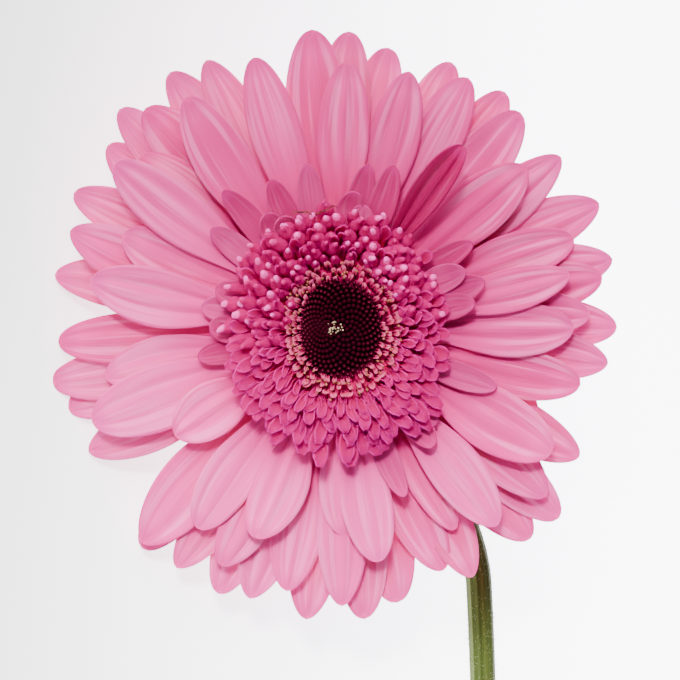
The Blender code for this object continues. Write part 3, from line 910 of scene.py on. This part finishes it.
for (ring, kind), groups in crown_parts.items():
    placed, tones = [], []
    for chosen, tip_r, tip_w, lip, bud_radius in groups:
        count = len(chosen)
        base, pull, tip = crown_paths(tip_r, tip_w, chosen)
        lean = chance.normal(0.0, 0.9, count)
        if kind == "bud":
            blank = bud_blank
            size = BUD_GIRTH * bud_radius * chance.uniform(0.75, 1.15, count)
            sideways, above = bud_shape(blank, size, 0.75, 0.6, 0.42)
        else:
            blank = tongue_blank
            lips = lip * chance.uniform(0.82, 1.12, count) * (1.0 - 0.25 * topness(chosen))
            sideways, above = tongue_shape(blank, np.full(count, 0.9), lips, 0.35, 0.8)
            tip = tip + at_w(0.5, -1.1 * chance.random(count))
        t = grid_of(blank)[1]
        placed.append(sweep(chosen, base, pull, tip, t, sideways, above, lean))
        tones.append(chance.random(count))
    piece = plant(
        f"{ring}_{kind}s", blank, np.concatenate(placed), np.concatenate(tones),
        bud_finish if kind == "bud" else tongue_finish,
        wall=0.0 if kind == "bud" else 0.22 * MM, weld=kind == "bud",
    )
    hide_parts(ring)

# %% [markdown]
# Inside the crown the florets have just opened. Their lips are salmon and rolled right back, and from some
# of them stand the anthers, dusted with salmon-brown pollen. Dark gaps show between them.

# %% The collar
lip_finish = make_floret_finish(
    "collar_lip", srgb(96, 0, 30), srgb(160, 20, 72), srgb(204, 74, 110), 0.45, 0.9, 0.0
)
pollen_finish, pollen_tree, pollen_shader = new_finish("pollen", roughness=0.8, specular=0.1)
grains = speckle(pollen_tree, 2600.0, 1.0)
pollen_up = up_map(pollen_tree)
dust = mix(pollen_tree, rescale(pollen_tree, grains, 0.4, 0.6), srgb(140, 66, 60), srgb(180, 102, 84))
stalk = mix(pollen_tree, rescale(pollen_tree, pollen_up, 0.35, 0.7), srgb(150, 30, 60), dust)
pollen_tree.links.new(stalk, pollen_shader.inputs["Base Color"])
pollen_tree.links.new(bump(pollen_tree, grains, 0.6, 0.00012), pollen_shader.inputs["Normal"])

COLLAR_ROOT_W = 6.2
# Tip radius, tip w, how many and lip width.
COLLAR_ROWS = ((8.9, 9.4, 40, 0.75), (10.0, 10.0, 44, 0.9), (11.2, 10.4, 46, 1.1))
placed, tones = [], []
for row_number, (tip_r, tip_w, count, lip) in enumerate(COLLAR_ROWS):
    angles = (np.arange(count) + 0.5 * (row_number % 2)) * 360.0 / count + chance.normal(0.0, 1.6, count)
    reach = tip_r * collar_share(angles)
    base = at_w(reach - 0.9, COLLAR_ROOT_W)
    pull = at_w(reach - 0.7, tip_w + chance.normal(0.5, 0.2, count))
    tip = at_w(reach + chance.normal(0.3, 0.25, count), tip_w - 0.2 + chance.normal(0.0, 0.3, count))
    lips = lip * chance.uniform(0.8, 1.2, count)
    sideways, above = tongue_shape(tongue_blank, np.full(count, 0.5), lips, 0.3, 0.8)
    t = grid_of(tongue_blank)[1]
    placed.append(sweep(angles, base, pull, tip, t, sideways, above, chance.normal(0.0, 0.3, count)))
    tones.append(chance.random(count))
collar_lips = plant(
    "collar_lips", tongue_blank, np.concatenate(placed), np.concatenate(tones),
    lip_finish, wall=0.14 * MM,
)
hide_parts("stamen_collar")

ANTHERS = 120
ANTHER_R = (8.7, 12.0)
ANTHER_FOOT_W, ANTHER_TIP_W = 6.5, 10.3
angles = chance.uniform(0.0, 360.0, ANTHERS)
tip_r = chance.uniform(*ANTHER_R, ANTHERS) * collar_share(angles)
base = at_w(tip_r - 0.4, ANTHER_FOOT_W)
tip = at_w(tip_r + chance.normal(0.0, 0.3, ANTHERS), ANTHER_TIP_W + chance.normal(0.0, 0.45, ANTHERS))
anthers = plant_seeds(
    "anthers", angles, base, tip, chance.uniform(0.2, 0.32, ANTHERS), 0.6, 0.4,
    chance.normal(0.0, 0.3, ANTHERS), chance.random(ANTHERS), pollen_finish,
)
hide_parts("stamen_collar")

# %% [markdown]
# The youngest florets are hard dark buds, each set a golden angle on from the last, which packs them in the
# two families of spirals that every daisy shows. Those near the rim are about to open and have pinkish tips.

# %% The disc of buds
GOLDEN_DEG = 137.508
BUDS = 330
DISC_RIM = 8.5


def disc_height(radius):
    """The bed that the buds stand on: a low cushion with a dip in the middle."""
    share = np.asarray(radius) / DISC_RIM
    return 6.9 + 1.1 * np.sin(np.pi * np.clip(share, 0.0, 1.0) * 0.72)


bud_dark, bud_tree, bud_shader = new_finish("disc_bud", 0.5, specular=0.08, shine=PINK_SHINE)
bud_up = up_map(bud_tree)
bud_tone = own_value(bud_tree, "tone")
dot = times(bud_tree, rescale(bud_tree, bud_up, 0.88, 0.99), bud_tone)
dark = mix(bud_tree, rescale(bud_tree, bud_up, 0.3, 0.9), srgb(10, 0, 4), srgb(40, 0, 12))
bud_tree.links.new(mix(bud_tree, dot, dark, srgb(160, 46, 80)), bud_shader.inputs["Base Color"])

number = np.arange(BUDS)
angles = number * GOLDEN_DEG
share = np.sqrt((number + 0.5) / BUDS)
radius = DISC_RIM * share * collar_share(angles)
height = disc_height(DISC_RIM * share)
base = at_w(radius, height - 0.3)
tip = at_w(radius * 1.015, height + 0.75 + 0.2 * share)
size = 0.40 + 0.03 * chance.random(BUDS)
tones = np.clip((share - 0.6) * 1.8, 0.0, 0.7) * chance.uniform(0.7, 1.0, BUDS)
disc_buds = plant_seeds("disc_buds", angles, base, tip, size, 0.8, 0.3, 0.0, tones, bud_dark)
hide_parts("disc_florets")

# %% [markdown]
# In the very middle a few cream hairs poke out between the smallest buds. Each is the same small bud, drawn
# out thin and left almost upright, so no new shape is needed.

# %% The tuft
tuft_finish = two_colour(
    "tuft_cream", up_map, 0.1, 0.8, srgb(90, 60, 48), srgb(196, 172, 136), roughness=0.7
)
HAIRS = 26
TUFT_R = 1.5
TUFT_FOOT_W, TUFT_TIP_W = 6.8, 8.3
angles = chance.uniform(0.0, 360.0, HAIRS)
radius = TUFT_R * np.sqrt(chance.random(HAIRS))
base = at_w(radius, TUFT_FOOT_W)
tip = at_w(radius + chance.normal(0.1, 0.25, HAIRS), TUFT_TIP_W + chance.normal(0.0, 0.25, HAIRS))
tuft = plant_seeds(
    "tuft", angles, base, tip, chance.uniform(0.09, 0.2, HAIRS), 0.9, 0.3,
    chance.normal(0.0, 0.25, HAIRS), chance.random(HAIRS), tuft_finish,
)
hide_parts("disc_florets")

# %% [markdown]
# A dry brown thread lies on the top edge of the crown. It's a thin tube rolled round a short wandering line.

# %% The dry thread
thread_blank = make_blank("thread_blank", 5, 24)
thread_q, thread_t = grid_of(thread_blank)
THREAD_ENDS = (-8.4, 0.6)
THREAD_R = 0.17
THREAD_V, THREAD_W = 21.6, 11.3
thread_u = THREAD_ENDS[0] + (THREAD_ENDS[1] - THREAD_ENDS[0]) * thread_t
thread_v = THREAD_V + 1.3 * thread_t + 0.5 * np.sin(9.0 * thread_t) + 0.2 * np.sin(23.0 * thread_t)
thread_w = THREAD_W + 0.5 * np.sin(5.0 * thread_t + 1.0)
girth = THREAD_R * np.sqrt(np.clip(1.0 - (2.0 * thread_t - 1.0) ** 6, 0.0, 1.0))
thread_v = thread_v + girth * np.sin(math.pi * thread_q)
thread_w = thread_w + girth * np.cos(math.pi * thread_q)
placed = to_world(np.stack([thread_u, thread_v, thread_w], axis=1))
thread_finish = two_colour(
    "dry_thread", lambda tree: speckle(tree, 900.0), 0.4, 0.6, srgb(70, 30, 22), srgb(112, 62, 42),
    roughness=0.7, specular=0.1,
)
thread = plant("dry_thread", thread_blank, placed[None], [0.5], thread_finish, weld=True)
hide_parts("crown_outer")

for blank in (tongue_blank, bud_blank, seed_blank, thread_blank):
    bpy.data.objects.remove(blank)

# %% [markdown]
# Everything in the middle grows on a bed that must not show as a bare plate. It is a turned shape, so its
# outline is drawn as a row of points and spun round the axis of the head: dark under the disc, crimson
# under the crown. Its skirt hangs over the rim of the cup, so that no green shows below the crown.


# %% Turned shapes on the head's axis
def turn_outline(name, outline, steps, material):
    """Spins an outline of (radius, w) pairs round the head's axis. Its ends lie on the axis."""
    mesh = bpy.data.meshes.new(name)
    points = [to_world((0.0, radius, w)) for radius, w in outline]
    mesh.from_pydata([tuple(p) for p in points], [(i, i + 1) for i in range(len(points) - 1)], [])
    piece = new_piece(name, mesh)
    bpy.ops.mesh.spin(steps=steps, angle=2.0 * math.pi, center=tuple(HEAD), axis=tuple(FACE))
    bpy.ops.mesh.select_all(action="SELECT")
    bpy.ops.mesh.remove_doubles(threshold=0.00001)
    bpy.ops.mesh.normals_make_consistent(inside=False)
    bpy.ops.object.mode_set(mode="OBJECT")
    finish_mesh(piece, material)
    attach(piece, "root")
    print(name, len(piece.data.polygons), "faces")
    return piece


def from_bed_middle(tree):
    """How far a place is from the middle of the bed, in metres."""
    made = tree.nodes.new("ShaderNodeVectorMath")
    made.operation = "DISTANCE"
    feed(tree, made.inputs[0], in_object(tree))
    made.inputs[1].default_value = tuple(to_world((0.0, 0.0, 6.0)))
    return made.outputs["Value"]


bed_finish = two_colour(
    "bed", from_bed_middle, 0.0082, 0.0112, srgb(12, 0, 5), srgb(200, 0, 90), roughness=0.7, specular=0.0
)
BED_SKIRT = ((14.75, 4.6), (14.75, 1.6), (15.1, 1.4), (15.6, 5.0), (14.6, 5.6), (12.4, 6.2), (10.4, 6.6))
bed_outline = [(0.0, 4.6), *BED_SKIRT]
bed_outline += [(r, float(disc_height(r))) for r in np.linspace(8.4, 0.0, 8)]
bed = turn_outline("bed", bed_outline, 64, bed_finish)
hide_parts("disc_florets")

# %% [markdown]
# ## Everything green
# The cup that carries the head is turned in the same way. Three rows of narrow pointed bracts lie on it like
# roof tiles, the outer rows lowest. They are leaves, so each has a keel and a thin dry tip. The bracts and
# the stem share one recipe: a mottled green with paler lines along it, set by each piece's own map. The cup
# has a plain mottled green.


# %% Cup and bracts
def make_green_finish(name, dark, light, tip, lines, tip_from):
    material, tree, shader = new_finish(name, 0.62, 0.05, 0.1, 0.15, (0.7, 0.9, 0.4, 1.0))
    up = up_map(tree)
    stripes = noise(tree, stretched(tree, own_uv(tree), (lines, 1.5, 1.0)), 1.0, 3.0, 0.6)
    mottle = speckle(tree, 420.0, 3.0)
    colour = mix(tree, rescale(tree, stripes, 0.36, 0.66), dark, light)
    colour = mix(tree, rescale(tree, mottle, 0.35, 0.7, 0.0, 0.35), colour, dark)
    colour = mix(tree, rescale(tree, up, tip_from, 1.0), colour, tip)
    tree.links.new(colour, shader.inputs["Base Color"])
    height = calc(tree, "ADD", stripes, times(tree, mottle, 0.5))
    tree.links.new(bump(tree, height, 0.5, 0.0003), shader.inputs["Normal"])
    return material, tree, shader


bract_finish = make_green_finish(
    "bract_green", srgb(62, 84, 36), srgb(122, 142, 72), srgb(132, 92, 74), 9.0, 0.82
)[0]
cup_finish = two_colour(
    "cup_green", lambda tree: speckle(tree, 300.0, 3.0), 0.35, 0.65, srgb(84, 104, 48), srgb(134, 152, 84),
    roughness=0.6, specular=0.2,
)
CUP_OUTLINE = (
    (0.0, -18.7), (3.4, -18.7), (4.6, -18.1), (5.6, -17.2), (7.4, -15.4), (9.0, -13.4), (10.7, -11.1),
    (12.0, -8.8), (13.1, -6.9), (13.9, -5.2), (14.4, -4.0), (14.4, 3.4), (13.6, 4.2), (0.0, 4.2),
)
cup = turn_outline("cup", CUP_OUTLINE, 72, cup_finish)
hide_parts("receptacle")

bract_blank = make_blank("bract_blank", 6, 16)
BRACT_ROWS = (
    # solid, how many, width, base, pull and tip as radius and w
    ("bracts_outer", 18, 3.3, (5.3, -18.6), (10.6, -16.9), (13.5, -11.6)),
    ("bracts_outer", 20, 3.8, (6.6, -17.6), (12.2, -14.4), (15.6, -8.3)),
    ("bracts_inner", 22, 3.9, (9.4, -14.2), (13.6, -6.9), (19.2, -6.2)),
)
bract_q, bract_t = grid_of(bract_blank)
for row_number, (solid, count, width, base, pull, tip) in enumerate(BRACT_ROWS, 1):
    angles = (np.arange(count) + 0.33 * row_number) * 360.0 / count + chance.normal(0.0, 1.2, count)
    share = (0.55 + 0.45 * smooth_step(bract_t / 0.35)) * np.sqrt(np.clip(1.0 - bract_t ** 2.6, 0.0, 1.0))
    half = 0.5 * width * chance.uniform(0.9, 1.05, count)[:, None] * share[None, :]
    sideways = half * bract_q[None, :]
    keel = 0.35 * (1.0 - np.abs(bract_q)) * (1.0 - bract_t)
    above = 0.5 * half * bract_q ** 2 - keel[None, :]
    spread_of = chance.normal(0.0, 0.25, (count, 1))
    tips = np.array(tip) + np.hstack([spread_of, -spread_of])
    placed = sweep(
        angles, np.tile(base, (count, 1)), np.tile(pull, (count, 1)), tips,
        bract_t, sideways, above, chance.normal(0.0, 0.25, count),
    )
    bracts = plant(
        f"bracts_row_{row_number}", bract_blank, placed, chance.random(count),
        bract_finish, wall=0.42 * MM,
    )
    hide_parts(solid)

# %% [markdown]
# The stem leaves the cup along the head's axis, bends down until it lies on the table and then runs almost
# straight, so its middle line is one bend and one long shallow wave. It's a grid once more, rolled round that
# line: ribs make the roll uneven, its first rows close the top, and its last ones close the cut end, where
# the pale pith shows in a ring of green.

# %% The stem's middle line
NECK_TOP_W = -19.05
NECK_R = 2.65
END_R = 3.0
TURN_X = 29.2
TURN_Y = -52.0
TURN_PULL = 22.0
LENGTH_Y = 318.0
BOW = 0.05
SWAY = 3.0
low = NECK_R - HEAD[2] / MM
roll = math.atan2(-FACE[0], FACE[2])
neck_top = NECK_TOP_W * FACE
turn_point = np.array([(TURN_X - low * math.sin(roll)) / math.cos(roll), TURN_Y, low])
first_pull = neck_top - (neck_top[2] - low) / FACE[2] * FACE
second_pull = turn_point + np.array([-BOW * LENGTH_Y / (LENGTH_Y + TURN_Y) * TURN_PULL, TURN_PULL, 0.0])
t = np.linspace(0.0, 1.0, 81)[:-1, None]
neck = (1 - t) ** 3 * neck_top + 3 * (1 - t) ** 2 * t * first_pull
neck = neck + 3 * (1 - t) * t * t * second_pull + t ** 3 * turn_point
t = np.linspace(0.0, 1.0, 161)[:, None]
aside = BOW * LENGTH_Y * t * (1 - t) - SWAY * np.sin(math.pi * t) ** 2
run = turn_point + np.hstack([aside, -t * (LENGTH_Y + TURN_Y), (END_R - NECK_R) * t])
line = np.vstack([neck, run])
line_radius = np.concatenate([np.full(len(neck), NECK_R), NECK_R + (END_R - NECK_R) * t[:, 0]])
line_length = np.concatenate([[0.0], np.cumsum(np.linalg.norm(np.diff(line, axis=0), axis=1))])
solid_stem = (node_points("stem") - HEAD) / MM
nearest = np.array([np.linalg.norm(line - point, axis=1).min() for point in solid_stem])
print("stem", round(line_length[-1]), "mm long")
print("solid's corners are", nearest.min().round(2), "to", nearest.max().round(2), "mm off the line")


def stem_frame(length):
    """The line's points, directions and two sides at these lengths, for rings that don't twist."""
    along = np.gradient(line, axis=0)
    along /= np.linalg.norm(along, axis=1)[:, None]
    side = np.tile(RIGHT, (len(line), 1))
    side -= along * (side * along).sum(axis=1)[:, None]
    side /= np.linalg.norm(side, axis=1)[:, None]
    other = np.cross(along, side)
    parts = []
    for values in (line, along, side, other):
        parts.append(np.stack([np.interp(length, line_length, values[:, k]) for k in range(3)], axis=-1))
    return parts


# %% [markdown]
# The stem's grid is rolled until its two long edges meet, and they are welded. A bevelled curve would make
# the same tube, but ribs, a swelling under the cup and a dished cut end are easier to give to a grid.

# %% Roll the stem
STEM_RIBS = 11
stem_blank = make_blank("stem_blank", 66, 220)
stem_q, stem_t = grid_of(stem_blank)
CAP_SHARE = 0.03
place = np.clip((stem_t - CAP_SHARE) / (1.0 - 2.0 * CAP_SHARE), 0.0, 1.0)
length = place * line_length[-1]
middle, along, side, other = stem_frame(length)
closing = np.clip(np.minimum(stem_t, 1.0 - stem_t) / CAP_SHARE, 0.0, 1.0)
round_angle = math.pi * stem_q
ribs = 0.022 * np.cos(STEM_RIBS * round_angle) + 0.012 * np.sin(3.0 * round_angle + 0.03 * length)
swelling = 0.012 * np.sin(0.11 * length) + 0.16 * np.exp(-length / 3.0) - 0.03
size = np.interp(length, line_length, line_radius) * (1.0 + ribs + swelling)
size = size * np.sqrt(1.0 - (1.0 - closing) ** 2)
dish = 0.5 * np.where(stem_t > 0.5, smooth_step(1.0 - closing), 0.0)
points = middle + size[:, None] * (np.cos(round_angle)[:, None] * side + np.sin(round_angle)[:, None] * other)
points = HEAD + MM * (points - dish[:, None] * along)
points[:, 2] = np.maximum(points[:, 2], 0.0)
stem_finish, stem_tree, stem_shader = make_green_finish(
    "stem_green", srgb(52, 66, 26), srgb(80, 94, 42), srgb(78, 92, 42), 26.0, 0.9
)
stem_up = up_map(stem_tree)
cut_place = rescale(stem_tree, stem_up, 1.0 - CAP_SHARE, 1.0, smooth=False)
pith = mix(stem_tree, rescale(stem_tree, cut_place, 0.08, 0.2), srgb(150, 170, 96), srgb(226, 226, 186))
pith = mix(stem_tree, rescale(stem_tree, cut_place, 0.75, 1.0), pith, srgb(176, 168, 120))
is_cut = rescale(stem_tree, cut_place, 0.015, 0.03)
plain_green = stem_shader.inputs["Base Color"].links[0].from_socket
stem_tree.links.new(mix(stem_tree, is_cut, plain_green, pith), stem_shader.inputs["Base Color"])
stem = plant("stem_rod", stem_blank, points[None], [0.5], stem_finish, weld=True)
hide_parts("stem")

# %% [markdown]
# A gerbera's stem and bracts are covered in short soft hairs, which is why its outline looks blurred. One
# hair is a grid of six faces, rolled into a spike and copied all over.

# %% Hairs of the stem
hair_blank = make_blank("hair_blank", 3, 2)
hair_q, hair_t = grid_of(hair_blank)
STEM_HAIRS = 5200
HAIR_R = 0.055
HAIR_LENGTHS = (0.5, 1.35)
HAIR_TILTS = (0.1, 1.1)
hair_length = chance.uniform(2.0, line_length[-1] - 1.0, STEM_HAIRS)
hair_turn = chance.uniform(0.0, 2.0 * math.pi, STEM_HAIRS)
middle, along, side, other = stem_frame(hair_length)
outward = np.cos(hair_turn)[:, None] * side + np.sin(hair_turn)[:, None] * other
root = middle + 0.93 * np.interp(hair_length, line_length, line_radius)[:, None] * outward
aim = outward - along * chance.uniform(*HAIR_TILTS, STEM_HAIRS)[:, None]
aim = aim + chance.normal(0.0, 0.25, (STEM_HAIRS, 3))
aim /= np.linalg.norm(aim, axis=1)[:, None]
cross = np.cross(aim, along)
cross /= np.linalg.norm(cross, axis=1)[:, None]
third = np.cross(aim, cross)
reach = chance.uniform(*HAIR_LENGTHS, STEM_HAIRS)
girth = HAIR_R * (1.0 - hair_t)
placed = root[:, None] + aim[:, None] * (reach[:, None] * hair_t[None])[..., None]
placed = placed + cross[:, None] * (girth * np.cos(math.pi * hair_q))[None, :, None]
placed = placed + third[:, None] * (girth * np.sin(math.pi * hair_q))[None, :, None]
placed = HEAD + MM * placed
placed[..., 2] = np.maximum(placed[..., 2], 0.0)
hair_finish, _, hair_shader = new_finish("hair", 0.7, 0.0, 0.3, 0.2)
hair_shader.inputs["Base Color"].default_value = srgb(140, 146, 96)
hairs = plant(
    "stem_hairs", hair_blank, placed, chance.random(STEM_HAIRS), hair_finish, weld=True
)
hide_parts("stem")
for blank in (bract_blank, stem_blank, hair_blank):
    bpy.data.objects.remove(blank)

# %% [markdown]
# The flower lies on white paper that glows by itself, dimmer on the left, so that it stays white under a
# weak light. One large lamp stands over the top of the head, a weak one fills in from the left, and a soft
# narrow spot brightens the petals towards the stem.

# %% Floor, light and the air around
LEFT_GLOW = (1.3, 1.27, 1.22, 1.0)
RIGHT_GLOW = (7.8, 7.8, 8.6, 1.0)
bpy.ops.object.select_all(action="DESELECT")
bpy.ops.mesh.primitive_plane_add(size=8.0, location=(0.0, 0.0, 0.0))
floor = bpy.context.object
floor.name = "floor"
floor_finish, floor_tree, floor_shader = new_finish("floor_paper", roughness=0.9, specular=0.1)
floor_shader.inputs["Base Color"].default_value = (0.82, 0.82, 0.82, 1.0)
floor_shader.inputs["Emission Strength"].default_value = 1.0
across_floor = split(floor_tree, in_object(floor_tree))[0]
glow = mix(floor_tree, rescale(floor_tree, across_floor, -0.09, 0.1), LEFT_GLOW, RIGHT_GLOW)
floor_tree.links.new(glow, floor_shader.inputs["Emission Color"])
floor.data.materials.append(floor_finish)
floor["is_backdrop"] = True


def add_light(name, kind, power, place, target):
    """A light at one place in the head's frame, in millimetres, that faces another."""
    data = bpy.data.lights.new(name, kind)
    data.energy = power
    light = bpy.data.objects.new(name, data)
    bpy.context.scene.collection.objects.link(light)
    light.location = to_world(place)
    light.rotation_euler = (light.location - Vector(to_world(target))).to_track_quat("Z", "Y").to_euler()
    return data


LAMPS = (
    # name, power, place, colour
    ("key", 21.5, (0.0, 800.0, 900.0), (1.0, 0.98, 0.97)),
    ("fill", 4.0, (-800.0, -300.0, 800.0), (0.93, 0.95, 1.0)),
)
for name, power, place, colour in LAMPS:
    lamp = add_light(name, "AREA", power, place, (0.0, 0.0, 0.0))
    lamp.shape = "DISK"
    lamp.size = 1.0
    lamp.color = colour
pool = add_light("pool", "SPOT", 225.0, (-60.0, 250.0, 900.0), (-2.0, -88.0, 0.0))
pool.spot_size = math.radians(12.0)
pool.spot_blend = 1.0
pool.shadow_soft_size = 0.12
world = bpy.data.worlds.new("studio")
world.use_nodes = True
world.node_tree.nodes["Background"].inputs["Color"].default_value = (0.95, 0.96, 1.0, 1.0)
world.node_tree.nodes["Background"].inputs["Strength"].default_value = 0.35
bpy.context.scene.world = world

# %% [markdown]
# The box of the finished model is printed.

# %% Keep the sizes
low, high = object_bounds()
print("visual box", [round(v, 4) for v in low], [round(v, 4) for v in high])
